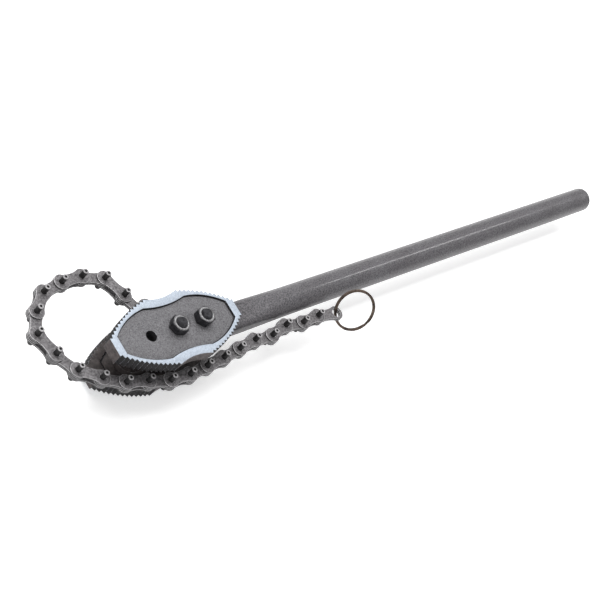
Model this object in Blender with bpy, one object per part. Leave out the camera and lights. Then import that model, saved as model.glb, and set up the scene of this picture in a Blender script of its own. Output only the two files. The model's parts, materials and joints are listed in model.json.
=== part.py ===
"""Chain pipe wrench: double-ended serrated jaws bolted to a long round handle, with a flat-link chain.

Metres, +Z up. The tool lies on its far side. The origin is on the centre bolt's axis, on the flat
face of that bolt's head. +X runs along the handle and +Z out of the near jaw's face.
"""
from math import acos, asin, atan2, cos, degrees, hypot, pi, radians, sin

import bmesh
import bpy
from mathutils import Matrix, Vector
from mathutils.geometry import tessellate_polygon

# Running clearance between neighbouring solids, and how far a cutter runs past what it cuts
clearance = 0.0003
overrun = 0.004
weld_distance = 0.000001

# Jaws
jaw_half_length = 0.087
jaw_end_half_width = 0.0105
shoulder_reach = 0.0232
shoulder_half_width = 0.0396
waist_half_width = 0.0358
toothed_edge_rise = 0.0043
tooth_depth = 0.0026
teeth_per_edge = 13
jaw_thickness = 0.0155
jaw_gap = 0.038
pocket_depth = 0.0022
toothed_rim_width = 0.0065
plain_rim_width = 0.0085
pocket_bow_share = 0.8
land_height = 0.006
land_half_width = 0.0165
land_half_length = 0.056
hole_spacing = 0.0365
hole_chamfer = 0.0008

# Bolts and nuts
bolt_radius = 0.0062
bolt_head_across_flats = 0.019
bolt_head_height = 0.008
nut_height = 0.010
bolt_end_stand = 0.003
hex_chamfer = 0.0014
bolt_end_chamfer = 0.0010

# Handle
handle_radius = 0.0165
handle_end_reach = 0.8335
handle_end_fillet = 0.007
tongue_width = 0.032
tongue_corner_radius = 0.006
tongue_step_reach = 0.0175
tongue_reach = 0.105
tongue_runout = 0.095

# Chain
pitch = 0.027
plate_thickness = 0.0019
plate_end_radius = 0.0089
plate_waist_half_width = 0.0063
plate_corner_share = 0.83
inner_plate_space = 0.0006
bush_radius = 0.0050
pin_radius = 0.0032
pin_length = 0.028
pin_chamfer = 0.0008

# Shackle
shackle_length = 0.038
shackle_leg_thickness = 0.0042
shackle_eye_radius = 0.0155
shackle_nose_radius = 0.0115
shackle_throat_radius = 0.0243
shackle_pin_length = 0.025

# End link and split ring
end_link_length = 0.031
ring_hole_radius = 0.0056
ring_radius = 0.0246
ring_wire_radius = 0.0013

# Heading of the shackle, of each chain link and of the end link, in degrees from +X
headings = [
    96, 113, 115, 160, 180, 191, 222, 240, 287, 300, 324, 331,
    346, 344, 357, 365, 365, 367, 367, 356, 372, 352, 363, 353,
]

# The shackle's length in pitches for which they hold. With another one, the loop bends at its elbow
# joint, and its far joint keeps its place. Joints count from the centre bolt
drawn_shackle_share = 38 / 27
elbow_joint = 4
far_joint = 9

# The ring's wire runs through its hole along this direction, and its centre lies along the other
ring_wire_direction = Vector((0.08, -0.67, -0.73)).normalized()
ring_centre_direction = Vector((0.89, -0.28, 0.36))

# Facets
circle_sides = 16
bush_sides = 12
pin_sides = 10
pin_first_turn = pi / 36
handle_corner_steps = 5
handle_runout_steps = 5
handle_dome_steps = 3
shackle_arc_steps = 10
ring_steps = 24
ring_wire_sides = 6
plate_end_steps = 8
plate_waist_steps = 3
jaw_waist_steps = 8

# Worked out from the sizes above
hole_radius = bolt_radius + clearance
pin_bore_radius = pin_radius + clearance
head_stand = bolt_head_height + clearance - pocket_depth
mid_plane = head_stand + jaw_thickness + jaw_gap / 2
inner_link_half = inner_plate_space / 2 + plate_thickness
outer_plate_inside = inner_link_half + clearance
outer_plate_outside = outer_plate_inside + plate_thickness
land_face = jaw_gap / 2 - land_height
tongue_half = land_face - clearance
eye_half = tongue_half - shackle_leg_thickness - clearance


def clear_scene():
    for item in list(bpy.data.objects):
        bpy.data.objects.remove(item, do_unlink=True)


def make_material(name, colour, roughness, metallic):
    material = bpy.data.materials.new(name)
    material.use_nodes = True
    shader = material.node_tree.nodes["Principled BSDF"]
    shader.inputs["Base Color"].default_value = (*colour, 1.0)
    shader.inputs["Roughness"].default_value = roughness
    shader.inputs["Metallic"].default_value = metallic
    return material


# Flat outlines, each a list of 2-D points running anticlockwise


def circle(radius, sides, centre=(0.0, 0.0), start=0.0):
    turns = [start + 2 * pi * k / sides for k in range(sides)]
    return [(centre[0] + radius * cos(t), centre[1] + radius * sin(t)) for t in turns]


def arc(centre, radius, first, last, steps):
    turns = [first + (last - first) * k / steps for k in range(steps + 1)]
    return [(centre[0] + radius * cos(t), centre[1] + radius * sin(t)) for t in turns]


def bowed(first, last, rise, share):
    """A point at a share of the way along a chord, raised to its right in a shallow bow."""
    run = (last[0] - first[0], last[1] - first[1])
    length = hypot(*run)
    lift = 4 * rise * share * (1 - share)
    return (
        first[0] + run[0] * share + run[1] / length * lift,
        first[1] + run[1] * share - run[0] / length * lift,
    )


def toothed_edge(first, last):
    """V teeth along a bowed edge, with a tip at each end."""
    points = []
    for k in range(teeth_per_edge):
        points.append(bowed(first, last, toothed_edge_rise, k / teeth_per_edge))
        share = (k + 0.5) / teeth_per_edge
        tip = bowed(first, last, toothed_edge_rise, share)
        run = (last[0] - first[0], last[1] - first[1])
        length = hypot(*run)
        points.append((tip[0] - run[1] / length * tooth_depth, tip[1] + run[0] / length * tooth_depth))
    points.append(last)
    return points


def smooth_edge(first, last, rise, steps):
    return [bowed(first, last, rise, k / steps) for k in range(steps + 1)]


def jaw_outline():
    end = (jaw_half_length, jaw_end_half_width)
    shoulder = (shoulder_reach, shoulder_half_width)
    far_shoulder = (-shoulder_reach, shoulder_half_width)
    far_end = (-jaw_half_length, jaw_end_half_width)
    waist_drop = shoulder_half_width - waist_half_width
    waist = smooth_edge(shoulder, far_shoulder, -waist_drop, jaw_waist_steps)[1:-1]
    upper = toothed_edge(end, shoulder) + waist + toothed_edge(far_shoulder, far_end)
    return upper + [(-x, -y) for x, y in upper]


def inset_outline(rim_toothed, rim_plain, steps):
    """The jaw's outline without its teeth, drawn in by the rim's two widths."""
    slope = atan2(shoulder_half_width - jaw_end_half_width, jaw_half_length - shoulder_reach)
    end_x = jaw_half_length - rim_plain
    end_y = jaw_end_half_width - rim_toothed / cos(slope) + rim_plain * sin(slope) / cos(slope)
    high_y = waist_half_width - rim_plain
    high_x = shoulder_reach - rim_toothed * sin(slope) / 2
    lift = (shoulder_half_width - waist_half_width) * pocket_bow_share
    shoulder, far_shoulder = (high_x, high_y + lift), (-high_x, high_y + lift)
    side = smooth_edge((end_x, end_y), shoulder, toothed_edge_rise, steps)
    waist = smooth_edge(shoulder, far_shoulder, -lift, steps)[1:-1]
    upper = side + waist + smooth_edge(far_shoulder, (-end_x, end_y), toothed_edge_rise, steps)
    return upper + [(-x, -y) for x, y in upper]


def stadium(half_length, radius, steps):
    reach = half_length - radius
    right = arc((reach, 0.0), radius, -pi / 2, pi / 2, steps)
    return right + [(-x, -y) for x, y in right]


def link_outline(length, end_radius, waist):
    """A figure of eight: two round ends and a waist drawn in by a shallow arc."""
    corner = asin(plate_corner_share)
    right = arc((length, 0.0), end_radius, -pi + corner, pi - corner, plate_end_steps)
    first_x, first_y = right[-1]
    run = length - 2 * first_x
    top = []
    for k in range(1, plate_waist_steps + 1):
        share = k / (plate_waist_steps + 1)
        drop = (first_y - waist) * 4 * share * (1 - share)
        top.append((first_x + run * share, first_y - drop))
    upper = right + top
    return upper + [(length - x, -y) for x, y in upper]


# Solids built from flat faces and walls


def flat(bm, outer, holes, height, up):
    rings = [[Vector((x, y, height)) for x, y in ring] for ring in [outer] + holes]
    points = [point for ring in rings for point in ring]
    verts = [bm.verts.new(point) for point in points]
    for a, b, c in tessellate_polygon(rings):
        normal = (points[b] - points[a]).cross(points[c] - points[a]).z
        order = (a, b, c) if (normal > 0) == up else (a, c, b)
        bm.faces.new([verts[i] for i in order])


def wall(bm, low_ring, low, high_ring, high):
    """Faces between two like rings, facing away from a ring that runs anticlockwise."""
    count = len(low_ring)
    below = [bm.verts.new((x, y, low)) for x, y in low_ring]
    above = [bm.verts.new((x, y, high)) for x, y in high_ring]
    for k in range(count):
        n = (k + 1) % count
        bm.faces.new((below[k], below[n], above[n], above[k]))


def bore_wall(bm, low_ring, low, high_ring, high):
    wall(bm, low_ring[::-1], low, high_ring[::-1], high)


def finish(bm, name, material, matrix=Matrix.Identity(4), sharp=35):
    bmesh.ops.remove_doubles(bm, verts=bm.verts, dist=weld_distance)
    mesh = bpy.data.meshes.new(name)
    bm.to_mesh(mesh)
    bm.free()
    mesh.materials.append(material)
    mesh.shade_smooth()
    mesh.set_sharp_from_angle(angle=radians(sharp))
    item = bpy.data.objects.new(name, mesh)
    item.matrix_world = matrix
    bpy.context.collection.objects.link(item)
    return item


def cut(target, cutter, operation="DIFFERENCE"):
    cutter.hide_render = True
    cutter.display_type = "WIRE"
    boolean = target.modifiers.new(cutter.name, "BOOLEAN")
    boolean.operation = operation
    boolean.solver = "EXACT"
    boolean.object = cutter


def prism(name, ring, low, high, material, place=Matrix.Identity(4)):
    bm = bmesh.new()
    flat(bm, ring, [], low, False)
    wall(bm, ring, low, ring, high)
    flat(bm, ring, [], high, True)
    return finish(bm, name, material, place)


def make_jaw(name, material, turned):
    """One jaw plate: serrated outline, a pocket outside, and a raised land inside round the bores."""
    outline = jaw_outline()
    pocket = inset_outline(toothed_rim_width, plain_rim_width, jaw_waist_steps)
    land = stadium(land_half_length, land_half_width, jaw_waist_steps)
    places = [(-hole_spacing, 0.0), (0.0, 0.0), (hole_spacing, 0.0)]
    bores = [circle(hole_radius, circle_sides, place) for place in places]
    mouths = [circle(hole_radius + hole_chamfer, circle_sides, place) for place in places]
    inside = jaw_gap / 2
    outside = inside + jaw_thickness
    floor = outside - pocket_depth
    bm = bmesh.new()
    flat(bm, outline, [pocket], outside, True)
    bore_wall(bm, pocket, floor, pocket, outside)
    flat(bm, pocket, mouths, floor, True)
    for bore, mouth in zip(bores, mouths):
        bore_wall(bm, bore, floor - hole_chamfer, mouth, floor)
        bore_wall(bm, bore, land_face, bore, floor - hole_chamfer)
    wall(bm, outline, inside, outline, outside)
    flat(bm, outline, [land], inside, False)
    wall(bm, land, land_face, land, inside)
    flat(bm, land, bores, land_face, False)
    place = Matrix.Translation((0.0, 0.0, mid_plane))
    if turned:
        place = place @ Matrix.Rotation(pi, 4, "X")
    return finish(bm, name, material, place)


def hexagon(across_flats):
    return circle(across_flats / 2 / cos(pi / 6), 6, start=pi / 6)


def make_bolt(name, material, reach):
    """A hexagon-head bolt from the far jaw's pocket up through the near jaw and its nut."""
    shank = circle(bolt_radius, circle_sides)
    tip = circle(bolt_radius - bolt_end_chamfer, circle_sides)
    full = hexagon(bolt_head_across_flats)
    small = hexagon(bolt_head_across_flats - hex_chamfer)
    top = 2 * mid_plane - head_stand - pocket_depth + clearance + nut_height + bolt_end_stand
    bm = bmesh.new()
    flat(bm, small, [], 0.0, False)
    wall(bm, small, 0.0, full, hex_chamfer / 2)
    wall(bm, full, hex_chamfer / 2, full, bolt_head_height)
    flat(bm, full, [shank], bolt_head_height, True)
    wall(bm, shank, bolt_head_height, shank, top - bolt_end_chamfer)
    wall(bm, shank, top - bolt_end_chamfer, tip, top)
    flat(bm, tip, [], top, True)
    return finish(bm, name, material, Matrix.Translation((reach, 0.0, 0.0)))


def make_nut(name, material, reach, turn):
    low = 2 * mid_plane - head_stand - pocket_depth + clearance
    high = low + nut_height
    full = hexagon(bolt_head_across_flats)
    small = hexagon(bolt_head_across_flats - hex_chamfer)
    bore = circle(hole_radius, circle_sides, start=-radians(turn))
    bm = bmesh.new()
    flat(bm, small, [bore], low, False)
    wall(bm, small, low, full, low + hex_chamfer / 2)
    wall(bm, full, low + hex_chamfer / 2, full, high - hex_chamfer / 2)
    wall(bm, full, high - hex_chamfer / 2, small, high)
    flat(bm, small, [bore], high, True)
    bore_wall(bm, bore, low, bore, high)
    place = Matrix.Translation((reach, 0.0, 0.0)) @ Matrix.Rotation(radians(turn), 4, "Z")
    return finish(bm, name, material, place)


def handle_section(share):
    """One ring of the handle, from the squared tongue at share 0 to the round bar at share 1."""
    points = []
    corner_y = tongue_width / 2 - tongue_corner_radius
    corner_z = tongue_half - tongue_corner_radius
    per_corner = handle_corner_steps + 1
    for quarter in range(4):
        sign_y = 1 if quarter in (0, 3) else -1
        sign_z = 1 if quarter in (0, 1) else -1
        for k in range(per_corner):
            turn = pi / 2 * (quarter + k / handle_corner_steps)
            even = pi / 2 * (quarter + (k + 0.5) / per_corner)
            square = (
                sign_y * corner_y + tongue_corner_radius * cos(turn),
                sign_z * corner_z + tongue_corner_radius * sin(turn),
            )
            round_bar = (handle_radius * cos(even), handle_radius * sin(even))
            points.append([a + (b - a) * share for a, b in zip(square, round_bar)])
    return points


def make_handle(material):
    """A round bar, forged square at the front, with a thinner eye between the shackle's legs."""
    stations = [(0.0, 0.0, 1.0), (tongue_reach, 0.0, 1.0)]
    for k in range(1, handle_runout_steps + 1):
        share = k / handle_runout_steps
        eased = share * share * (3 - 2 * share)
        stations.append((tongue_reach + tongue_runout * share, eased, 1.0))
    for k in range(handle_dome_steps + 1):
        turn = pi / 2 * k / handle_dome_steps
        drawn = 1 - handle_end_fillet * (1 - cos(turn)) / handle_radius
        stations.append((handle_end_reach - handle_end_fillet * (1 - sin(turn)), 1.0, drawn))
    bm = bmesh.new()
    rings = []
    for x, share, drawn in stations:
        section = handle_section(share)
        rings.append([bm.verts.new((x, y * drawn, z * drawn)) for y, z in section])
    for first, second in zip(rings, rings[1:]):
        count = len(first)
        for k in range(count):
            n = (k + 1) % count
            bm.faces.new((first[k], first[n], second[n], second[k]))
    bm.faces.new(rings[0][::-1])
    bm.faces.new(rings[-1])
    bmesh.ops.recalc_face_normals(bm, faces=bm.faces)
    place = Matrix.Translation((0.0, 0.0, mid_plane))
    handle = finish(bm, "handle", material, place)
    eye_radius = tongue_width / 2 - clearance
    eye_top = (eye_half + tongue_half) / 2
    eye = circle(eye_radius, circle_sides * 2, start=pin_first_turn)
    cut(handle, prism("eye_blank", eye, -eye_top, eye_top, material, place), "UNION")
    back = -eye_radius - overrun
    side = tongue_width / 2 + overrun
    step = [(back, -side), (tongue_step_reach, -side), (tongue_step_reach, side), (back, side)]
    top = tongue_half + overrun
    cut(handle, prism("upper_step", step, eye_half, top, material, place))
    cut(handle, prism("lower_step", step, -top, -eye_half, material, place))
    for k, reach in enumerate((0.0, hole_spacing)):
        bore = circle(hole_radius, circle_sides, (reach, 0.0), pin_first_turn)
        cut(handle, prism(f"tongue_bore_{k}", bore, -top, top, material, place))
    return handle


def make_shackle(material, place):
    """A forged yoke: two legs on the centre bolt and a slotted nose that takes the first link."""
    spread = asin((shackle_eye_radius - shackle_nose_radius) / shackle_length)
    quarter = pi / 2 - spread
    nose = arc((shackle_length, 0.0), shackle_nose_radius, -quarter, quarter, shackle_arc_steps)
    heel = arc((0.0, 0.0), shackle_eye_radius, quarter, 2 * pi - quarter, shackle_arc_steps)
    half = land_face - clearance
    shackle = prism("shackle", nose + heel, -half, half, material, place)
    room = eye_half + clearance
    slot = inner_link_half + clearance
    slot_radius = plate_end_radius + clearance * 2
    mouth = shackle_nose_radius + overrun
    cutters = [
        ("yoke_hollow", circle(shackle_throat_radius, circle_sides * 2), room),
        ("yoke_bolt_bore", circle(hole_radius, circle_sides, start=pin_first_turn), half + overrun),
        ("yoke_pin_bore", shifted(pin_ring(pin_bore_radius), shackle_length), half + overrun),
    ]
    back = arc((shackle_length, 0.0), slot_radius, pi / 2, 3 * pi / 2, shackle_arc_steps)
    front = [(shackle_length + mouth, -mouth), (shackle_length + mouth, mouth)]
    side = [(shackle_length, -mouth), (shackle_length, mouth)]
    cutters.append(("yoke_slot", back + side[:1] + front + side[1:], slot))
    for name, ring, reach in cutters:
        cut(shackle, prism(name, ring, -reach, reach, material, place))
    return shackle


def pin_ring(radius):
    """Pins and their bores share one set of corners, turned a little so that none line up."""
    return circle(radius, pin_sides, start=pin_first_turn)


def pin_rings():
    return pin_ring(pin_radius), pin_ring(pin_radius - pin_chamfer)


def make_short_pin(material, place):
    body, tip = pin_rings()
    half = shackle_pin_length / 2
    bm = bmesh.new()
    flat(bm, tip, [], -half, False)
    wall(bm, tip, -half, body, pin_chamfer - half)
    wall(bm, body, pin_chamfer - half, body, half - pin_chamfer)
    wall(bm, body, half - pin_chamfer, tip, half)
    flat(bm, tip, [], half, True)
    return finish(bm, "shackle_pin", material, place)


def shifted(ring, reach):
    return [(x + reach, y) for x, y in ring]


def make_inner_link(name, material, place, length, far_bore, far_bush):
    """Two plates held apart by a bush at each pin, one solid."""
    outline = link_outline(length, plate_end_radius, plate_waist_half_width)
    bore = pin_ring(pin_bore_radius)
    bush = circle(bush_radius, bush_sides, start=pin_first_turn)
    far_sides = pin_sides if far_bush else circle_sides
    far = shifted(circle(far_bore, far_sides, start=pin_first_turn), length)
    half = inner_link_half
    space = inner_plate_space / 2
    bm = bmesh.new()
    flat(bm, outline, [bore, far], -half, False)
    flat(bm, outline, [bore, far], half, True)
    wall(bm, outline, -half, outline, -space)
    wall(bm, outline, space, outline, half)
    bore_wall(bm, bore, -half, bore, half)
    wall(bm, bush, -space, bush, space)
    if far_bush:
        collar = shifted(bush, length)
        bore_wall(bm, far, -half, far, half)
        wall(bm, collar, -space, collar, space)
    else:
        collar = far
        bore_wall(bm, far, -half, far, -space)
        bore_wall(bm, far, space, far, half)
    flat(bm, outline, [bush, collar], -space, True)
    flat(bm, outline, [bush, collar], space, False)
    return finish(bm, name, material, place)


def make_near_plate(name, material, place):
    outline = link_outline(pitch, plate_end_radius, plate_waist_half_width)
    bore = pin_ring(pin_bore_radius)
    bores = [bore, shifted(bore, pitch)]
    low, high = outer_plate_inside, outer_plate_outside
    bm = bmesh.new()
    flat(bm, outline, bores, low, False)
    flat(bm, outline, bores, high, True)
    wall(bm, outline, low, outline, high)
    for ring in bores:
        bore_wall(bm, ring, low, ring, high)
    return finish(bm, name, material, place)


def make_pin_plate(name, material, place):
    """The far plate with its two long pins riveted in."""
    outline = link_outline(pitch, plate_end_radius, plate_waist_half_width)
    body, tip = pin_rings()
    low, high = -outer_plate_outside, -outer_plate_inside
    half = pin_length / 2
    bodies = [body, shifted(body, pitch)]
    tips = [tip, shifted(tip, pitch)]
    bm = bmesh.new()
    flat(bm, outline, bodies, low, False)
    flat(bm, outline, bodies, high, True)
    wall(bm, outline, low, outline, high)
    for ring, end in zip(bodies, tips):
        flat(bm, end, [], -half, False)
        wall(bm, end, -half, ring, pin_chamfer - half)
        wall(bm, ring, pin_chamfer - half, ring, low)
        wall(bm, ring, high, ring, half - pin_chamfer)
        wall(bm, ring, half - pin_chamfer, end, half)
        flat(bm, end, [], half, True)
    return finish(bm, name, material, place)


def make_ring(material, seat):
    """The split ring, closed here, through the end link's hole and tipped up towards the handle."""
    along = (ring_centre_direction - ring_centre_direction.project(ring_wire_direction)).normalized()
    across = ring_wire_direction
    normal = along.cross(across)
    centre = seat + along * ring_radius
    bm = bmesh.new()
    rings = []
    for k in range(ring_steps):
        turn = 2 * pi * k / ring_steps
        out = along * -cos(turn) + across * sin(turn)
        loop = []
        for j in range(ring_wire_sides):
            roll = 2 * pi * (j + 0.5) / ring_wire_sides
            offset = out * (ring_wire_radius * cos(roll)) + normal * (ring_wire_radius * sin(roll))
            loop.append(bm.verts.new(centre + out * ring_radius + offset - seat))
        rings.append(loop)
    for k in range(ring_steps):
        first, second = rings[k], rings[(k + 1) % ring_steps]
        for j in range(ring_wire_sides):
            n = (j + 1) % ring_wire_sides
            bm.faces.new((first[j], first[n], second[n], second[j]))
    bmesh.ops.recalc_face_normals(bm, faces=bm.faces)
    return finish(bm, "split_ring", material, Matrix.Translation(seat), sharp=80)


def joints_along(lengths, bearings):
    """Every joint from the centre bolt on, in plan."""
    points = [Vector((0.0, 0.0))]
    for length, bearing in zip(lengths, bearings):
        turn = radians(bearing)
        points.append(points[-1] + Vector((cos(turn), sin(turn))) * length)
    return points


def closed_headings(lengths):
    """The headings, with the loop's near half and far half each turned to meet its far joint."""
    drawn = joints_along([pitch * drawn_shackle_share] + lengths[1:], headings)
    target = drawn[far_joint]
    loose = joints_along(lengths, headings)
    elbow = loose[elbow_joint]
    arm = loose[far_joint] - elbow
    squares = elbow.length_squared + target.length_squared - arm.length_squared
    bearing = atan2(target.y, target.x) - acos(squares / (2 * elbow.length * target.length))
    reach = target - Vector((cos(bearing), sin(bearing))) * elbow.length
    near_turn = degrees(bearing - atan2(elbow.y, elbow.x))
    far_turn = degrees(atan2(reach.y, reach.x) - atan2(arm.y, arm.x))
    turns = [near_turn] * elbow_joint + [far_turn] * (far_joint - elbow_joint)
    turns += [0.0] * (len(headings) - far_joint)
    return [heading + turn for heading, turn in zip(headings, turns)]


def link_place(point, bearing):
    """The frame of one link: its first pin at the origin and its length along +X."""
    spot = Matrix.Translation((point.x, point.y, mid_plane))
    return spot @ Matrix.Rotation(radians(bearing), 4, "Z")


clear_scene()
jaw_steel = make_material("jaw_steel", (0.30, 0.30, 0.31), 0.45, 0.7)
black_steel = make_material("black_oxide_steel", (0.05, 0.05, 0.055), 0.45, 0.6)
handle_paint = make_material("hammered_grey_paint", (0.14, 0.13, 0.135), 0.45, 0.3)
chain_steel = make_material("chain_steel", (0.18, 0.17, 0.165), 0.42, 0.75)
pin_steel = make_material("pin_steel", (0.14, 0.14, 0.14), 0.35, 0.8)
ring_steel = make_material("spring_steel_wire", (0.16, 0.13, 0.11), 0.3, 0.9)

make_jaw("near_jaw", jaw_steel, False)
make_jaw("far_jaw", jaw_steel, True)
make_handle(handle_paint)
make_bolt("centre_bolt", black_steel, 0.0)
make_bolt("handle_bolt", black_steel, hole_spacing)
make_nut("centre_nut", black_steel, 0.0, 14)
make_nut("handle_nut", black_steel, hole_spacing, 41)

lengths = [shackle_length] + [pitch] * (len(headings) - 2) + [end_link_length]
bearings = closed_headings(lengths)
joints = joints_along(lengths, bearings)
places = [link_place(joint, bearing) for joint, bearing in zip(joints, bearings)]
make_shackle(chain_steel, places[0])
make_short_pin(pin_steel, link_place(joints[1], bearings[0]))

for number, place in enumerate(places[1:-1], start=1):
    if number % 2:
        link_name = f"chain_link_{number:02d}_inner"
        make_inner_link(link_name, chain_steel, place, pitch, pin_bore_radius, True)
    else:
        make_near_plate(f"chain_link_{number:02d}_near_plate", chain_steel, place)
        make_pin_plate(f"chain_link_{number:02d}_pin_plate", chain_steel, place)

make_inner_link("end_link", chain_steel, places[-1], end_link_length, ring_hole_radius, False)
make_ring(ring_steel, Vector((joints[-1].x, joints[-1].y, mid_plane)))
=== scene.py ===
"""Chain pipe wrench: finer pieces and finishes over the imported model, seen as in the photo."""
import json
from math import asin, atan2, cos, hypot, pi, radians, sin

import bpy
from mathutils import Matrix, Vector


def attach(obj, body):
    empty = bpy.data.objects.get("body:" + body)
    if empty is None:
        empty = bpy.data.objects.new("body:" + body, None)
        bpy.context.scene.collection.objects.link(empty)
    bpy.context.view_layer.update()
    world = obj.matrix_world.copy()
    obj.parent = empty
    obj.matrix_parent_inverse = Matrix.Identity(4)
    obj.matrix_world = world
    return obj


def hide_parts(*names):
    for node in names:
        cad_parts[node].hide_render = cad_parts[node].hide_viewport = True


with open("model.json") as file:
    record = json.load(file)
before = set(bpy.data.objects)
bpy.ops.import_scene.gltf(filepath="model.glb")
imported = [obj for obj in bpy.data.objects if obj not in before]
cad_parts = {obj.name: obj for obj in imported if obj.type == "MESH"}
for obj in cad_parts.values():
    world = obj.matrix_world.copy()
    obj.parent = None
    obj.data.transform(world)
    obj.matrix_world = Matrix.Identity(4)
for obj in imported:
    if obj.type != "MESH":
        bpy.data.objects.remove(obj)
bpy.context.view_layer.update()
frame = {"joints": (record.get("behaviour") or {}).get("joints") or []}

# Jaws: two forged steel plates, serrated on four edges. A ground rim stands round a cast-grey pocket,
# and a land inside bears on the handle's tongue. They are bolted together through it
jaw_half_length = 0.087
jaw_end_half_width = 0.0105
shoulder_reach = 0.0232
shoulder_half_width = 0.0396
waist_half_width = 0.0358
tooth_rise = 0.0043
tooth_depth = 0.0026
teeth_per_edge = 13
mid_plane = 0.0406
jaw_inside = 0.019
jaw_outside = 0.0345
land_face = 0.013
pocket_depth = 0.0022
bore_radius = 0.0065
bore_places = [-0.0365, 0.0, 0.0365]
pocket_end = (0.0778, 0.0102)
pocket_corner = (0.0288, 0.0305)
pocket_waist_sink = 0.0035
hollow_shares = (0.90, 0.84)
hollow_depth = 0.0016
hollow_shade_groove_depth = 0.0026
hollow_shade_groove_shares = (0.96, 0.93)
land_reach = 0.0395
land_radius = 0.0165
land_root = 0.004
shade_groove_depth = 0.0005
shade_groove_outer_shares = (0.999, 0.998)
shade_groove_inner_shares = (0.984, 0.962)
jaw_arris = 0.0004
bore_shade_zone = 0.008
bore_arris_zone = 0.009
bore_sides = 40
land_steps = 16
past = 0.01
through = 0.05

# The finish that all the steel shares: a slow drift between two colours, and a fine grain and bump
grain = bpy.data.node_groups.new("grain", "ShaderNodeTree")
for title, kind, value in (
    ("Base", "NodeSocketColor", (0.5, 0.5, 0.5, 1)),
    ("Dark", "NodeSocketColor", (0.1, 0.1, 0.1, 1)),
    ("Scale", "NodeSocketFloat", 120.0),
    ("Roughness", "NodeSocketFloat", 0.4),
    ("Bump", "NodeSocketFloat", 0.3),
):
    grain.interface.new_socket(title, in_out="INPUT", socket_type=kind).default_value = value
for title, kind in (
    ("Color", "NodeSocketColor"),
    ("Roughness", "NodeSocketFloat"),
    ("Normal", "NodeSocketVector"),
):
    grain.interface.new_socket(title, in_out="OUTPUT", socket_type=kind)
given = grain.nodes.new("NodeGroupInput")
result = grain.nodes.new("NodeGroupOutput")
coordinates = grain.nodes.new("ShaderNodeTexCoord")
slow = grain.nodes.new("ShaderNodeTexNoise")
slow.inputs["Detail"].default_value = 7
slow.inputs["Roughness"].default_value = 0.65
fine = grain.nodes.new("ShaderNodeTexNoise")
fine.inputs["Detail"].default_value = 4
faster = grain.nodes.new("ShaderNodeMath")
faster.operation = "MULTIPLY"
faster.inputs[1].default_value = 6.0
contrast = grain.nodes.new("ShaderNodeMapRange")
contrast.inputs["From Min"].default_value = 0.36
contrast.inputs["From Max"].default_value = 0.62
blend = grain.nodes.new("ShaderNodeMix")
blend.data_type = "RGBA"
spread = grain.nodes.new("ShaderNodeMath")
spread.operation = "MULTIPLY_ADD"
spread.inputs[1].default_value = 0.35
offset = grain.nodes.new("ShaderNodeMath")
offset.operation = "SUBTRACT"
offset.inputs[1].default_value = 0.17
bump = grain.nodes.new("ShaderNodeBump")
bump.inputs["Distance"].default_value = 0.0003
grain.links.new(coordinates.outputs["Object"], slow.inputs["Vector"])
grain.links.new(coordinates.outputs["Object"], fine.inputs["Vector"])
grain.links.new(given.outputs["Scale"], slow.inputs["Scale"])
grain.links.new(given.outputs["Scale"], faster.inputs[0])
grain.links.new(faster.outputs[0], fine.inputs["Scale"])
grain.links.new(slow.outputs["Fac"], contrast.inputs["Value"])
grain.links.new(contrast.outputs["Result"], blend.inputs["Factor"])
grain.links.new(given.outputs["Dark"], blend.inputs["A"])
grain.links.new(given.outputs["Base"], blend.inputs["B"])
grain.links.new(given.outputs["Roughness"], offset.inputs[0])
grain.links.new(fine.outputs["Fac"], spread.inputs[0])
grain.links.new(offset.outputs[0], spread.inputs[2])
grain.links.new(fine.outputs["Fac"], bump.inputs["Height"])
grain.links.new(given.outputs["Bump"], bump.inputs["Strength"])
grain.links.new(blend.outputs["Result"], result.inputs["Color"])
grain.links.new(spread.outputs[0], result.inputs["Roughness"])
grain.links.new(bump.outputs["Normal"], result.inputs["Normal"])


def steel(name, base, dark, scale, roughness, bump_strength, metallic):
    """A steel that drifts between two colours, with the shared grain at that scale."""
    material = bpy.data.materials.new(name)
    material.use_nodes = True
    tree = material.node_tree
    shader = tree.nodes["Principled BSDF"]
    shader.inputs["Metallic"].default_value = metallic
    shader.inputs["Specular IOR Level"].default_value = 0.25
    look = tree.nodes.new("ShaderNodeGroup")
    look.node_tree = grain
    look.inputs["Base"].default_value = (*base, 1)
    look.inputs["Dark"].default_value = (*dark, 1)
    look.inputs["Scale"].default_value = scale
    look.inputs["Roughness"].default_value = roughness
    look.inputs["Bump"].default_value = bump_strength
    tree.links.new(look.outputs["Color"], shader.inputs["Base Color"])
    tree.links.new(look.outputs["Roughness"], shader.inputs["Roughness"])
    tree.links.new(look.outputs["Normal"], shader.inputs["Normal"])
    return material


rim_steel = steel("ground_rim", (0.50, 0.555, 0.63), (0.34, 0.385, 0.45), 700, 0.5, 0.3, 0.25)
pocket_steel = steel("cast_pocket", (0.235, 0.232, 0.243), (0.088, 0.086, 0.091), 900, 0.62, 1.0, 0.2)
side_steel = steel("forged_side", (0.15, 0.130, 0.128), (0.070, 0.062, 0.062), 220, 0.6, 0.6, 0.2)
# Near-black steel, painted shade: it darkens the teeth flanks, the inward walls, the bore walls and
# the bottoms of the shade grooves
shaded_flank_steel = steel("flank_painted_shade", (0.030, 0.028, 0.030), (0.009, 0.009, 0.010), 300, 0.55, 0.5, 0.1)
# The inner faces' brown-grey, darkened as painted shade between the jaws
inner_shaded_steel = steel("inner_face_painted_shade", (0.085, 0.073, 0.071), (0.032, 0.028, 0.028), 150, 0.6, 0.6, 0.2)
# Bright steel for the rounded arrises: a painted highlight
edge_highlight_steel = steel("edge_painted_highlight", (0.78, 0.82, 0.88), (0.44, 0.47, 0.51), 600, 0.35, 0.2, 0.4)


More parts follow.
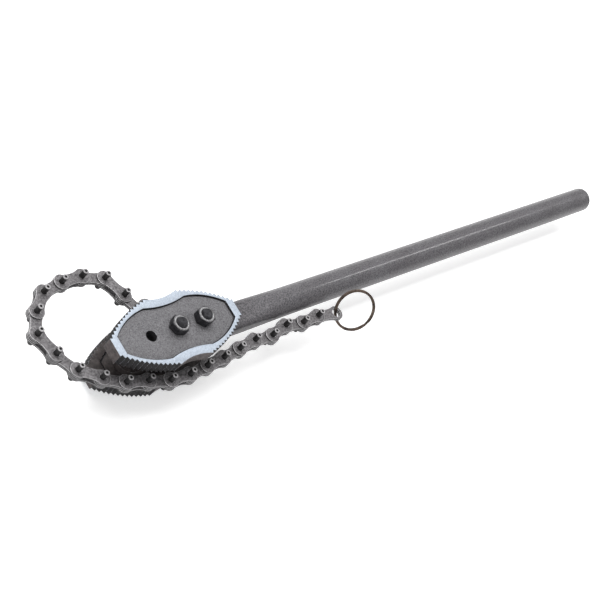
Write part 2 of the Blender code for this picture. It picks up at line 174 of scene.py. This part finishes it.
def only(piece):
    """Selects this piece alone."""
    bpy.ops.object.select_all(action="DESELECT")
    piece.select_set(True)
    bpy.context.view_layer.objects.active = piece


def ring_points(radius, sides, x=0.0, turn=0.0):
    """Points round a circle whose centre is at x."""
    angles = [turn + 2 * pi * k / sides for k in range(sides)]
    return [(x + radius * cos(a), radius * sin(a)) for a in angles]


def plate(name, outline, low, high):
    """A polygon filled and pulled up to its thickness."""
    bpy.ops.object.select_all(action="DESELECT")
    bpy.ops.mesh.primitive_circle_add(vertices=len(outline), fill_type="NGON")
    piece = bpy.context.object
    piece.name = name
    for vertex, (x, y) in zip(piece.data.vertices, outline):
        vertex.co = (x, y, low)
    bpy.ops.object.mode_set(mode="EDIT")
    bpy.ops.mesh.select_all(action="SELECT")
    bpy.ops.mesh.extrude_region_move(TRANSFORM_OT_translate={"value": (0, 0, high - low)})
    bpy.ops.mesh.select_all(action="SELECT")
    bpy.ops.mesh.normals_make_consistent(inside=False)
    bpy.ops.object.mode_set(mode="OBJECT")
    return piece


def shape(piece, tool, operation="DIFFERENCE"):
    """The piece cut by a tool, or joined with it; the tool is used up."""
    change = piece.modifiers.new("shape", "BOOLEAN")
    change.operation = operation
    change.solver = "EXACT"
    change.object = tool
    only(piece)
    bpy.ops.object.modifier_apply(modifier="shape")
    bpy.data.objects.remove(tool, do_unlink=True)


def ease(piece, width, angle, slot_index, steps=2):
    """Rounded arrises, which take the material at that index."""
    change = piece.modifiers.new("ease", "BEVEL")
    change.width = width
    change.segments = steps
    change.limit_method = "ANGLE"
    change.angle_limit = radians(angle)
    change.material = slot_index
    only(piece)
    bpy.ops.object.modifier_apply(modifier="ease")
    bpy.ops.object.shade_smooth_by_angle(angle=radians(35))


def bowed(first, last, rise, share):
    """A point part of the way along an edge that bows out by that rise."""
    run = (last[0] - first[0], last[1] - first[1])
    length = hypot(*run)
    lift = 4 * rise * share * (1 - share)
    x = first[0] + run[0] * share + run[1] / length * lift
    y = first[1] + run[1] * share - run[0] / length * lift
    return (x, y)


def toothed(first, last):
    """A bowed edge with its teeth cut into it."""
    run = (last[0] - first[0], last[1] - first[1])
    length = hypot(*run)
    points = []
    for k in range(teeth_per_edge):
        points.append(bowed(first, last, tooth_rise, k / teeth_per_edge))
        x, y = bowed(first, last, tooth_rise, (k + 0.5) / teeth_per_edge)
        points.append((x - run[1] / length * tooth_depth, y + run[0] / length * tooth_depth))
    return points + [last]


def smooth(first, last, rise, steps):
    """A bowed edge without teeth."""
    return [bowed(first, last, rise, k / steps) for k in range(steps + 1)]


def whole(half):
    """Half an outline and the same turned half round."""
    return half + [(-x, -y) for x, y in half]


def shrunk(outline, shares):
    """An outline made smaller, by one share along and another across."""
    return [(x * shares[0], y * shares[1]) for x, y in outline]


def from_bore(point):
    """How far a point is from the nearest bolt hole's axis."""
    return min(hypot(point.x - reach, point.y) for reach in bore_places)


end, far_end = (jaw_half_length, jaw_end_half_width), (-jaw_half_length, jaw_end_half_width)
shoulder, far_shoulder = (shoulder_reach, shoulder_half_width), (-shoulder_reach, shoulder_half_width)
waist = smooth(shoulder, far_shoulder, waist_half_width - shoulder_half_width, 16)[1:-1]
upper = toothed(end, shoulder) + waist + toothed(far_shoulder, far_end)
outline = whole(upper)

far_corner = (-pocket_corner[0], pocket_corner[1])
far_pocket_end = (-pocket_end[0], pocket_end[1])
upper = smooth(pocket_end, pocket_corner, tooth_rise, 12)
upper += smooth(pocket_corner, far_corner, -pocket_waist_sink, 14)[1:-1]
upper += smooth(far_corner, far_pocket_end, tooth_rise, 12)
pocket = whole(upper)

jaw = plate("jaw_near", outline, jaw_inside, jaw_outside)
hollow = shrunk(pocket, hollow_shares)
shape(jaw, plate("inner_hollow", hollow, 0.0, jaw_inside + hollow_depth))
# A shallow groove round the inner hollow's edge, painted near black as the shadow along that edge
shade_groove = plate("inner_shade_groove", hollow, jaw_inside, jaw_inside + hollow_shade_groove_depth)
shape(shade_groove, plate("kept", shrunk(hollow, hollow_shade_groove_shares), 0.0, through))
shape(jaw, shade_groove)
turns = [pi * k / land_steps for k in range(land_steps + 1)]
half_land = [(land_reach + land_radius * sin(turn), -land_radius * cos(turn)) for turn in turns]
shape(jaw, plate("land", whole(half_land), land_face, jaw_inside + land_root), "UNION")
floor_z = jaw_outside - pocket_depth
shape(jaw, plate("pocket", pocket, floor_z, jaw_outside + past))
# A shallow groove round the pocket floor's edge, painted near black as the shade along the pocket's
# walls
shade_groove_outer = shrunk(pocket, shade_groove_outer_shares)
shade_groove = plate("shade_groove", shade_groove_outer, floor_z - shade_groove_depth, floor_z + shade_groove_depth)
shape(shade_groove, plate("kept", shrunk(pocket, shade_groove_inner_shares), 0.0, through))
shape(jaw, shade_groove)
for reach in bore_places:
    shape(jaw, plate("bore", ring_points(bore_radius, bore_sides, reach), 0.0, through))
for material in (rim_steel, pocket_steel, side_steel, shaded_flank_steel, inner_shaded_steel, edge_highlight_steel):
    jaw.data.materials.append(material)
rim, pocket_floor, side, painted_shade, inner_shade, edge = range(6)
# Faces sorted by place: the rim and the pocket floor keep their steels, the outer sides the forged
# steel; the inward walls, bore walls, teeth flanks and groove bottoms take the near-black steel as
# painted shade, and the inner faces the dark inner steel as painted shade between the jaws
for face in jaw.data.polygons:
    centre, normal = face.center, face.normal
    in_hollow_shade_groove = jaw_inside + 0.002 < centre.z < jaw_inside + 0.003
    on_teeth = shoulder_reach < abs(centre.x) < jaw_half_length - 0.0001
    if normal.z > 0.5 and centre.z > floor_z + 0.001:
        face.material_index = rim
    elif normal.z > 0.5:
        face.material_index = pocket_floor if centre.z > floor_z - 0.0003 else painted_shade
    elif normal.z < -0.5:
        face.material_index = painted_shade if in_hollow_shade_groove else inner_shade
    elif from_bore(centre) < bore_shade_zone:
        face.material_index = painted_shade
    elif centre.z < jaw_inside:
        face.material_index = inner_shade
    elif normal.x * centre.x + normal.y * centre.y < 0:
        face.material_index = painted_shade
    else:
        face.material_index = painted_shade if on_teeth else side
# The rounded arrises take the bright steel as a painted highlight
ease(jaw, jaw_arris, 30, edge)
# The rounded edges at the pocket floor and at the hollow go back to the near-black steel as painted
# shade; those round the bores keep the painted highlight
for face in jaw.data.polygons:
    at_pocket = abs(face.center.z - floor_z) < 0.001
    at_hollow = abs(face.center.z - jaw_inside - 0.0018) < 0.001
    round_bore = from_bore(face.center) < bore_arris_zone
    if face.material_index == edge and (at_pocket or at_hollow) and not round_bore:
        face.material_index = painted_shade
far = jaw.copy()
far.data = jaw.data.copy()
far.name = "jaw_far"
bpy.context.scene.collection.objects.link(far)
far.data.transform(Matrix.Translation((0, 0, mid_plane)) @ Matrix.Rotation(pi, 4, "X"))
jaw.data.transform(Matrix.Translation((0, 0, mid_plane)))
for piece, node in ((jaw, "near_jaw"), (far, "far_jaw")):
    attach(piece, "wrench")
    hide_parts(node)

# Handle: a long round bar forged square where it enters between the jaws, and stepped thinner at its
# eye for the shackle's legs. It is sprayed with a hammered dark grey paint
handle_radius = 0.0165
tongue_half_width = 0.016
tongue_half = 0.0127
tongue_corner = 0.006
tongue_step = 0.0175
tongue_reach = 0.105
tongue_runout = 0.095
handle_end = 0.8335
end_round = 0.007
eye_half = 0.0082
eye_half_width = 0.0157
eye_overlap = 0.004
handle_arris = 0.0006
handle_cutter = 0.09
corner_steps = 16
runout_steps = 12
end_steps = 10
eye_steps = 24
paint = bpy.data.materials.new("hammered_paint")
paint.use_nodes = True
tree = paint.node_tree
shader = tree.nodes["Principled BSDF"]
shader.inputs["Metallic"].default_value = 0.2
shader.inputs["Specular IOR Level"].default_value = 0.3
shader.inputs["Coat Weight"].default_value = 0.22
shader.inputs["Coat Roughness"].default_value = 0.14
coordinates = tree.nodes.new("ShaderNodeTexCoord")
dents = tree.nodes.new("ShaderNodeTexVoronoi")
dents.feature = "SMOOTH_F1"
dents.inputs["Scale"].default_value = 520
flecks = tree.nodes.new("ShaderNodeTexNoise")
flecks.inputs["Scale"].default_value = 700
flecks.inputs["Detail"].default_value = 3
drift = tree.nodes.new("ShaderNodeTexNoise")
drift.inputs["Scale"].default_value = 24
drift.inputs["Detail"].default_value = 5
tone = tree.nodes.new("ShaderNodeValToRGB")
tone.color_ramp.elements[0].position = 0.36
tone.color_ramp.elements[0].color = (0.058, 0.056, 0.061, 1)
tone.color_ramp.elements[1].position = 0.64
tone.color_ramp.elements[1].color = (0.175, 0.169, 0.180, 1)
shade = tree.nodes.new("ShaderNodeValToRGB")
shade.color_ramp.elements[0].position = 0.30
shade.color_ramp.elements[0].color = (0.82, 0.80, 0.80, 1)
shade.color_ramp.elements[1].position = 0.70
shade.color_ramp.elements[1].color = (1.0, 1.0, 1.0, 1)
colour = tree.nodes.new("ShaderNodeMix")
colour.data_type = "RGBA"
colour.blend_type = "MULTIPLY"
colour.inputs["Factor"].default_value = 1.0
gloss = tree.nodes.new("ShaderNodeMapRange")
gloss.inputs["To Min"].default_value = 0.40
gloss.inputs["To Max"].default_value = 0.60
relief = tree.nodes.new("ShaderNodeBump")
relief.inputs["Strength"].default_value = 0.3
relief.inputs["Distance"].default_value = 0.0006
for texture in (dents, flecks, drift):
    tree.links.new(coordinates.outputs["Object"], texture.inputs["Vector"])
tree.links.new(flecks.outputs["Fac"], tone.inputs["Fac"])
tree.links.new(drift.outputs["Fac"], shade.inputs["Fac"])
tree.links.new(tone.outputs["Color"], colour.inputs["A"])
tree.links.new(shade.outputs["Color"], colour.inputs["B"])
tree.links.new(colour.outputs["Result"], shader.inputs["Base Color"])
tree.links.new(flecks.outputs["Fac"], gloss.inputs["Value"])
tree.links.new(gloss.outputs["Result"], shader.inputs["Roughness"])
tree.links.new(dents.outputs["Distance"], relief.inputs["Height"])
tree.links.new(relief.outputs["Normal"], shader.inputs["Normal"])


def skin(name, rings):
    """A skin over rings of points in a row, its two ends filled."""
    around, along = len(rings[0]), len(rings)
    bpy.ops.object.select_all(action="DESELECT")
    bpy.ops.mesh.primitive_grid_add(x_subdivisions=around, y_subdivisions=along - 1)
    piece = bpy.context.object
    piece.name = name
    for index, vertex in enumerate(piece.data.vertices):
        row, column = divmod(index, around + 1)
        vertex.co = rings[row][column % around]
    bpy.ops.object.mode_set(mode="EDIT")
    bpy.ops.mesh.select_all(action="SELECT")
    bpy.ops.mesh.remove_doubles(threshold=0.000001)
    bpy.ops.mesh.fill_holes(sides=0)
    bpy.ops.mesh.select_all(action="SELECT")
    bpy.ops.mesh.normals_make_consistent(inside=False)
    bpy.ops.object.mode_set(mode="OBJECT")
    return piece


def handle_ring(x, share, drawn):
    """A ring round the bar: square with round corners at share 0, round at 1, then drawn in."""
    points = []
    for quarter in range(4):
        side_y = 1 if quarter in (0, 3) else -1
        side_z = 1 if quarter in (0, 1) else -1
        for k in range(corner_steps):
            turn = pi / 2 * (quarter + k / (corner_steps - 1))
            even = pi / 2 * (quarter + (k + 0.5) / corner_steps)
            y = side_y * (tongue_half_width - tongue_corner) + tongue_corner * cos(turn)
            z = side_z * (tongue_half - tongue_corner) + tongue_corner * sin(turn)
            y += (handle_radius * cos(even) - y) * share
            z += (handle_radius * sin(even) - z) * share
            points.append((x, y * drawn, mid_plane + z * drawn))
    return points


rings = [handle_ring(tongue_step, 0, 1), handle_ring(tongue_reach, 0, 1)]
for k in range(1, runout_steps + 1):
    share = k / runout_steps
    rings.append(handle_ring(tongue_reach + tongue_runout * share, share * share * (3 - 2 * share), 1))
for k in range(end_steps + 1):
    turn = pi / 2 * k / end_steps
    x = handle_end - end_round * (1 - sin(turn))
    rings.append(handle_ring(x, 1, 1 - end_round * (1 - cos(turn)) / handle_radius))
handle = skin("handle_bar", rings)
turns = [pi * k / eye_steps for k in range(eye_steps + 1)]
eye_outline = [(eye_half_width * -sin(turn), eye_half_width * cos(turn)) for turn in turns]
eye_back = tongue_step + eye_overlap
eye_outline += [(eye_back, -eye_half_width), (eye_back, eye_half_width)]
shape(handle, plate("eye", eye_outline, mid_plane - eye_half, mid_plane + eye_half), "UNION")
for reach in bore_places[1:]:
    shape(handle, plate("bore", ring_points(bore_radius, bore_sides, reach), 0.0, handle_cutter))
handle.data.materials.append(paint)
ease(handle, handle_arris, 40, 0)
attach(handle, "wrench")
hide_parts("handle")

# Bolts and nuts: two hexagon-head bolts, black oxide steel, pushed through from the far side and held
# by chamfered nuts in the near jaw's pocket. Their threaded ends stand out of the nuts
oxide = steel("black_oxide", (0.045, 0.045, 0.05), (0.012, 0.012, 0.014), 260, 0.42, 0.4, 0.4)
# Light grey for the nut's collar face: a painted highlight
ring_highlight_steel = steel("ring_painted_highlight", (0.50, 0.50, 0.51), (0.22, 0.22, 0.23), 600, 0.38, 0.3, 0.4)
# Lighter grey for the nut's upward top faces: painted light
nut_top_light_steel = steel("nut_top_painted_light", (0.19, 0.185, 0.19), (0.07, 0.068, 0.07), 500, 0.45, 0.5, 0.3)
bolt_radius = 0.0062
across_flats = 0.019
hex_corner = across_flats / 2 / cos(pi / 6)
head_height = 0.008
nut_low = 0.0732
nut_high = 0.0832
bolt_top = 0.0862
flat_radius = 0.0094
chamfer_slope = 0.4
collar_radius = 0.0084
collar_height = 0.0004
collar_bore = 0.0070
collar_chamfer = 0.0003
thread_pitch = 0.0011
thread_depth = 0.0006
thread_low = 0.0015
point_chamfer = 0.0010
point_dish = 0.0006
nut_arris = 0.00015


def turned(name, profile, sides=40):
    """A lathe-turned piece: (radius, height) pairs from one end to the other."""
    turns = [2 * pi * k / sides for k in range(sides)]
    return skin(name, [[(r * cos(turn), r * sin(turn), z) for turn in turns] for r, z in profile])


def chamfered_hexagon(name, low, high, turn):
    """A hexagon whose corners are turned off above and below, as on a nut."""
    piece = plate(name, ring_points(hex_corner, 6, turn=radians(turn + 30)), low, high)
    far_edge = hex_corner + 0.0006
    drop = (far_edge - flat_radius) * chamfer_slope
    lower = [(flat_radius, low), (far_edge, low + drop)]
    upper = [(far_edge, high - drop), (flat_radius, high)]
    shape(piece, turned("chamfer", lower + upper, 64), "INTERSECT")
    return piece


for which, reach, turn in (("centre", 0.0, 14), ("handle", 0.0365, 41)):
    bolt_node, nut_node = f"{which}_bolt", f"{which}_nut"
    profile = [(bolt_radius, head_height - 0.001), (bolt_radius, nut_high - 0.002)]
    z = nut_high - thread_low
    while z < bolt_top - 0.0014:
        profile += [(bolt_radius - thread_depth, z), (bolt_radius, z + 0.0005)]
        z += thread_pitch
    profile += [(bolt_radius - point_chamfer, bolt_top), (bolt_radius / 2 - 0.0001, bolt_top)]
    profile += [(0.0004, bolt_top - point_dish)]
    bolt = turned(bolt_node + "_fine", profile)
    shape(bolt, chamfered_hexagon("head", 0.0, head_height, 0), "UNION")
    nut = chamfered_hexagon(nut_node + "_fine", nut_low, nut_high - collar_height, turn)
    outer = [(collar_radius, nut_high - 0.002), (collar_radius, nut_high - collar_chamfer)]
    outer += [(collar_radius - collar_chamfer, nut_high)]
    inner = [(collar_bore + 0.0004, nut_high), (collar_bore, nut_high - collar_chamfer)]
    shape(nut, turned("washer_face", outer + inner, 64), "UNION")
    shape(nut, plate("bore", ring_points(bore_radius, bore_sides), 0.0, 2 * through))
    for piece, node in ((bolt, bolt_node), (nut, nut_node)):
        piece.data.materials.append(oxide)
        piece.data.materials.append(ring_highlight_steel)
        piece.data.materials.append(nut_top_light_steel)
        # The nut's collar face takes the painted highlight and its hexagon's top the painted light;
        # all else stays black oxide
        for face in piece.data.polygons:
            on_collar = hypot(face.center.x, face.center.y) > collar_bore - 0.0002
            if piece is nut and on_collar and face.center.z > nut_high - 0.0002:
                face.material_index = 1
            elif piece is nut and face.normal.z > 0.95 and face.center.z > nut_high - 0.0005:
                face.material_index = 2
        ease(piece, nut_arris, 50, 0)
        piece.data.transform(Matrix.Translation((reach, 0, 0)))
        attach(piece, "wrench")
        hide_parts(node)

# Chain: flat links of blanked and oiled plate, inner pairs on bushes between outer pairs. The long
# pins, riveted in the outer plates, stand out on both sides to catch behind the jaws
link_steel = steel("chain_plate", (0.235, 0.225, 0.232), (0.070, 0.067, 0.070), 420, 0.5, 0.7, 0.3)
# Bright steel for the plates' rounded arrises: a painted highlight
link_highlight_steel = steel("chain_edge_painted_highlight", (0.60, 0.59, 0.60), (0.27, 0.265, 0.27), 700, 0.4, 0.3, 0.4)
# Near-black steel for the plates' sides and the bushes: painted shade
link_shade_steel = steel("chain_side_painted_shade", (0.024, 0.022, 0.023), (0.008, 0.0075, 0.008), 300, 0.6, 0.5, 0.1)
# Pins: near-black sides and black dimples as painted shade, light grey ends as painted light
pin_side_painted_shade = steel("pin_side_painted_shade", (0.030, 0.029, 0.030), (0.010, 0.0095, 0.010), 400, 0.45, 0.4, 0.15)
pin_end_painted_light = steel("pin_end_painted_light", (0.44, 0.43, 0.44), (0.24, 0.235, 0.24), 600, 0.36, 0.3, 0.4)
pin_dimple_painted_shade = steel("pin_dimple_painted_shade", (0.012, 0.011, 0.012), (0.005, 0.005, 0.005), 500, 0.6, 0.3, 0.2)
joint_places = {joint["name"]: Vector(joint["pos_m"]) for joint in frame["joints"]}
pitch = 0.027
plate_thickness = 0.0019
plate_end = 0.0089
plate_waist = 0.0063
plate_arris = 0.0004
waist_starts = 0.83
bush_radius = 0.005
bush_overlap = 0.0005
pin_radius = 0.0032
pin_half = 0.014
pin_bore = 0.0035
pin_chamfer = 0.0004
dimple_radius = 0.0016
dimple_depth = 0.0009
inner_low = 0.0003
outer_low = 0.0025
end_length = 0.031
ring_hole_radius = 0.0056
pin_sides = 32
arc_steps = 20
waist_steps = 10


def link_outline(length):
    """Two round ends joined by a hollow waist on each side."""
    angle = asin(waist_starts)
    right = []
    for k in range(arc_steps + 1):
        turn = -pi + angle + (2 * pi - 2 * angle) * k / arc_steps
        right.append((length + plate_end * cos(turn), plate_end * sin(turn)))
    start_x, start_y = right[-1]
    run = length - 2 * start_x
    for k in range(1, waist_steps):
        share = k / waist_steps
        drop = (start_y - plate_waist) * 4 * share * (1 - share)
        right.append((start_x + run * share, start_y - drop))
    return right + [(length - x, -y) for x, y in right]


def link_plate(name, length, low, bores):
    """A blanked plate with its holes, given as (place, radius) pairs."""
    piece = plate(name, link_outline(length), low, low + plate_thickness)
    for x, radius in bores:
        shape(piece, plate("bore", ring_points(radius, pin_sides, x), low - past, low + past))
    for material in (link_steel, link_shade_steel, link_highlight_steel):
        piece.data.materials.append(material)
    # Flat faces keep the plate steel, the sides take the near-black steel as painted shade, and the
    # arrises get the bright steel as a painted highlight
    for face in piece.data.polygons:
        face.material_index = 0 if abs(face.normal.z) > 0.5 else 1
    ease(piece, plate_arris, 30, 2)
    return piece


def joined(first, *others):
    """Pieces made one object, which keeps the first one's name."""
    only(first)
    for other in others:
        other.select_set(True)
    bpy.ops.object.join()
    return first


def bush(x):
    """The short tube between the two plates of an inner link."""
    half = inner_low + bush_overlap
    collar = plate("bush", ring_points(bush_radius, pin_sides, x), -half, half)
    shape(collar, plate("bore", ring_points(pin_bore, pin_sides, x), -past, past))
    # The bush takes the near-black steel as painted shade between the plates
    collar.data.materials.append(link_shade_steel)
    return collar


def pin(name, half, x=0.0):
    """A turned pin with chamfered ends, each with a riveting dimple."""
    end = [(0.0003, half - dimple_depth), (0.0013, half - 0.0007), (dimple_radius, half)]
    end += [(pin_radius - pin_chamfer, half), (pin_radius, half - pin_chamfer)]
    profile = [(r, -z) for r, z in end] + [(r, z) for r, z in end[::-1]]
    piece = turned(name, profile, pin_sides)
    for material in (pin_side_painted_shade, pin_end_painted_light, pin_dimple_painted_shade):
        piece.data.materials.append(material)
    # End faces take the light grey as painted light and the dimples the black as painted shade; the
    # sides keep the near-black steel as painted shade
    for face in piece.data.polygons:
        if abs(face.normal.z) > 0.3:
            corners = [piece.data.vertices[v].co for v in face.vertices]
            widest = max(hypot(c.x, c.y) for c in corners)
            face.material_index = 2 if widest < dimple_radius + 0.0001 else 1
    only(piece)
    bpy.ops.object.shade_smooth_by_angle(angle=radians(30))
    piece.data.transform(Matrix.Translation((x, 0, 0)))
    return piece


both = ((0.0, pin_bore), (pitch, pin_bore))
inner_high = -inner_low - plate_thickness
inner = link_plate("inner", pitch, inner_low, both)
inner = joined(inner, link_plate("b", pitch, inner_high, both), bush(0), bush(pitch))
near = link_plate("near", pitch, outer_low, both)
riveted = link_plate("riveted", pitch, -outer_low - plate_thickness, ())
riveted = joined(riveted, pin("pin_a", pin_half), pin("pin_b", pin_half, pitch))
end_bores = ((0.0, pin_bore), (end_length, ring_hole_radius))
last = link_plate("last", end_length, inner_low, end_bores)
last = joined(last, link_plate("b", end_length, inner_high, end_bores), bush(0))


def put(model, name, place, body, node):
    """A copy of a model at its place in the chain, riding on its link's body."""
    piece = model.copy()
    piece.data = model.data.copy()
    piece.name = name
    bpy.context.scene.collection.objects.link(piece)
    piece.data.transform(place)
    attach(piece, body)
    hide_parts(node)


def laid(start, stop):
    """The place of a piece that lies from one pin to another."""
    heading = atan2(stop.y - start.y, stop.x - start.x)
    return Matrix.Translation(start) @ Matrix.Rotation(heading, 4, "Z")


last_number = 23
for number in range(1, last_number + 1):
    start = joint_places[f"chain_pin_{number - 1:02d}"]
    if number == last_number:
        stop = joint_places["ring_swing"]
    else:
        stop = joint_places[f"chain_pin_{number:02d}"]
    place = laid(start, stop)
    body = f"chain_link_{number:02d}"
    if number == last_number:
        put(last, "end_link_fine", place, "end_link", "end_link")
    elif number % 2:
        put(inner, f"link_{number:02d}_inner", place, body, f"{body}_inner")
    else:
        put(near, f"link_{number:02d}_near", place, body, f"{body}_near_plate")
        put(riveted, f"link_{number:02d}_pins", place, body, f"{body}_pin_plate")
for model in (inner, near, riveted, last):
    bpy.data.objects.remove(model, do_unlink=True)

# Shackle: a forged yoke whose two legs hang on the centre bolt beside the handle's eye. Its slotted
# nose holds the chain's first link by a short pin
shackle_length = 0.038
eye_radius = 0.0155
nose_radius = 0.0115
throat_radius = 0.0243
throat_half = 0.0085
slot_radius = 0.0095
slot_half = 0.0025
slot_past = 0.016
yoke_pin_half = 0.0125
yoke_arris = 0.0008
yoke_cutter = 0.03
taper = asin((eye_radius - nose_radius) / shackle_length)
quarter = pi / 2 - taper
nose = [-quarter + 2 * quarter * k / 20 for k in range(21)]
heel = [quarter + 2 * (pi - quarter) * k / 24 for k in range(25)]
outline = [(shackle_length + nose_radius * cos(a), nose_radius * sin(a)) for a in nose]
outline += [(eye_radius * cos(a), eye_radius * sin(a)) for a in heel]
start, stop = joint_places["shackle_swing"], joint_places["chain_pin_00"]
shackle = plate("yoke", outline, -tongue_half, tongue_half)
shape(shackle, plate("hollow", ring_points(throat_radius, 64), -throat_half, throat_half))
turns = [pi * k / 20 for k in range(21)]
slot_outline = [(shackle_length, slot_past)]
slot_outline += [(shackle_length - slot_radius * sin(turn), slot_radius * cos(turn)) for turn in turns]
slot_outline += [(shackle_length, -slot_past)]
slot_outline += [(shackle_length + slot_past, -slot_past), (shackle_length + slot_past, slot_past)]
shape(shackle, plate("slot", slot_outline, -slot_half, slot_half))
for x, radius in ((0.0, bore_radius), (shackle_length, pin_bore)):
    shape(shackle, plate("bore", ring_points(radius, bore_sides, x), -yoke_cutter, yoke_cutter))
for material in (link_steel, link_shade_steel, link_highlight_steel):
    shackle.data.materials.append(material)
# The yoke's rounded arrises take the bright steel as a painted highlight
ease(shackle, yoke_arris, 35, 2)
shackle.data.transform(laid(start, stop))
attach(shackle, "shackle")
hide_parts("shackle")
short_pin = pin("yoke_pin", yoke_pin_half)
short_pin.data.transform(Matrix.Translation(stop))
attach(short_pin, "shackle")
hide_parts("shackle_pin")

# Split ring: flat spring wire wound twice round, bronze brown from tempering, with a fine dark line
# where the two coils lie on each other
bronze = steel("tempered_wire", (0.17, 0.125, 0.098), (0.022, 0.017, 0.015), 160, 0.34, 0.3, 0.5)
ring_radius = 0.0246
wire_direction = Vector((0.08, -0.67, -0.73)).normalized()
centre_direction = Vector((0.89, -0.28, 0.36))
coil_half = 0.0006
coil_gap = 0.0001
wire_half = 0.0015
wire_flatness = 1.25
wire_sides = 16
coil_steps = 200
first_turn = 0.02
turns_wound = 1.96
start_angle = 2.2
crossing_starts = 0.94
crossing_share = 0.12
along = (centre_direction - centre_direction.project(wire_direction)).normalized()
normal = along.cross(wire_direction)
centre = joint_places["ring_swing"] + along * ring_radius


def flattened(value):
    """A part of a round section, as on wire that was rolled flat on its four sides."""
    return max(min(value * wire_flatness, 1), -1)


rings = []
for step in range(coil_steps + 1):
    turns = first_turn + turns_wound * step / coil_steps
    turn = 2 * pi * turns + start_angle
    climb = min(max((turns - crossing_starts) / crossing_share, 0.0), 1.0)
    rise = (climb * climb * (3 - 2 * climb) * 2 - 1) * (coil_half + coil_gap / 2)
    out = along * -cos(turn) + wire_direction * sin(turn)
    section = []
    for k in range(wire_sides):
        a = 2 * pi * (k + 0.5) / wire_sides
        reach_out = ring_radius + wire_half * flattened(cos(a))
        section.append(centre + out * reach_out + normal * (rise + coil_half * flattened(sin(a))))
    rings.append(section)
coil = skin("coiled_ring", rings)
coil.data.materials.append(bronze)
only(coil)
bpy.ops.object.shade_smooth_by_angle(angle=radians(50))
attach(coil, "split_ring")
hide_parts("split_ring")

# Floor: a plain pale sheet of paper that the tool lies on. The camera and the metal see it near white,
# and it keeps the tool's soft shadow
bpy.ops.mesh.primitive_plane_add(size=200, location=(0.4, 0, -0.001))
floor = bpy.context.object
floor.name = "floor"
sheet = bpy.data.materials.new("pale_sheet")
sheet.use_nodes = True
tree = sheet.node_tree
shader = tree.nodes["Principled BSDF"]
shader.inputs["Roughness"].default_value = 0.9
shader.inputs["Specular IOR Level"].default_value = 0.1
mottle = tree.nodes.new("ShaderNodeTexNoise")
mottle.inputs["Scale"].default_value = 3
paper = tree.nodes.new("ShaderNodeValToRGB")
paper.color_ramp.elements[0].color = (0.93, 0.93, 0.93, 1)
paper.color_ramp.elements[1].color = (0.95, 0.95, 0.95, 1)
tree.links.new(mottle.outputs["Fac"], paper.inputs["Fac"])
seen = tree.nodes.new("ShaderNodeLightPath")
choice = tree.nodes.new("ShaderNodeMix")
choice.data_type = "RGBA"
choice.inputs["A"].default_value = (0.36, 0.36, 0.37, 1)
seen_or_mirrored = tree.nodes.new("ShaderNodeMath")
seen_or_mirrored.operation = "MAXIMUM"
glow = tree.nodes.new("ShaderNodeMath")
glow.operation = "MULTIPLY"
glow.inputs[1].default_value = 0.36
shader.inputs["Emission Color"].default_value = (1, 1, 1, 1)
tree.links.new(seen.outputs["Is Camera Ray"], seen_or_mirrored.inputs[0])
tree.links.new(seen.outputs["Is Glossy Ray"], seen_or_mirrored.inputs[1])
tree.links.new(seen_or_mirrored.outputs[0], choice.inputs["Factor"])
tree.links.new(paper.outputs["Color"], choice.inputs["B"])
tree.links.new(choice.outputs["Result"], shader.inputs["Base Color"])
tree.links.new(seen_or_mirrored.outputs[0], glow.inputs[0])
tree.links.new(glow.outputs[0], shader.inputs["Emission Strength"])
floor.data.materials.append(sheet)

# Light: a white room with a large soft lamp above, another low at the left, a third behind, and a
# narrow strip over the handle for its thin highlight
world = bpy.data.worlds.new("room")
world.use_nodes = True
tree = world.node_tree
tree.nodes["Background"].inputs["Color"].default_value = (1, 1, 1, 1)
seen = tree.nodes.new("ShaderNodeLightPath")
level = tree.nodes.new("ShaderNodeMapRange")
level.inputs["To Min"].default_value = 0.55
level.inputs["To Max"].default_value = 1.0
tree.links.new(seen.outputs["Is Camera Ray"], level.inputs["Value"])
tree.links.new(level.outputs["Result"], tree.nodes["Background"].inputs["Strength"])
bpy.context.scene.world = world
lit_point = Vector((0.15, 0, 0.04))
for name, spot, size, power in (
    ("above", (0.1, 0.9, 2.0), 1.6, 36),
    ("left", (-1.6, -0.8, 0.9), 1.0, 11),
    ("behind", (1.0, 1.9, 1.3), 1.6, 12),
):
    lamp = bpy.data.lights.new(name, "AREA")
    lamp.size = size
    lamp.energy = power
    holder = bpy.data.objects.new(name, lamp)
    holder.location = spot
    aim = lit_point - Vector(spot)
    holder.rotation_euler = aim.to_track_quat("-Z", "Y").to_euler()
    bpy.context.scene.collection.objects.link(holder)
strip = bpy.data.lights.new("strip", "AREA")
strip.shape = "RECTANGLE"
strip.size = 1.0
strip.size_y = 0.06
strip.energy = 9.0
holder = bpy.data.objects.new("strip", strip)
holder.location = (2.05, 0.11, 1.3)
bpy.context.scene.collection.objects.link(holder)

# Camera: the photo's view, from above and beyond the jaws' end, through a long lens with no shift and
# no blur
camera = bpy.data.objects.new("camera", bpy.data.cameras.new("camera"))
camera.data.lens = 89.72
camera.data.sensor_width = 36
camera.matrix_world = Matrix((
    (0.66245, 0.22963, -0.71304, -1.0139),
    (-0.51895, 0.82713, -0.21575, -0.3767),
    (0.54024, 0.51296, 0.6671, 1.1895),
    (0, 0, 0, 1),
))
bpy.context.scene.collection.objects.link(camera)
bpy.context.scene.camera = camera
bpy.context.scene.view_settings.view_transform = "Standard"
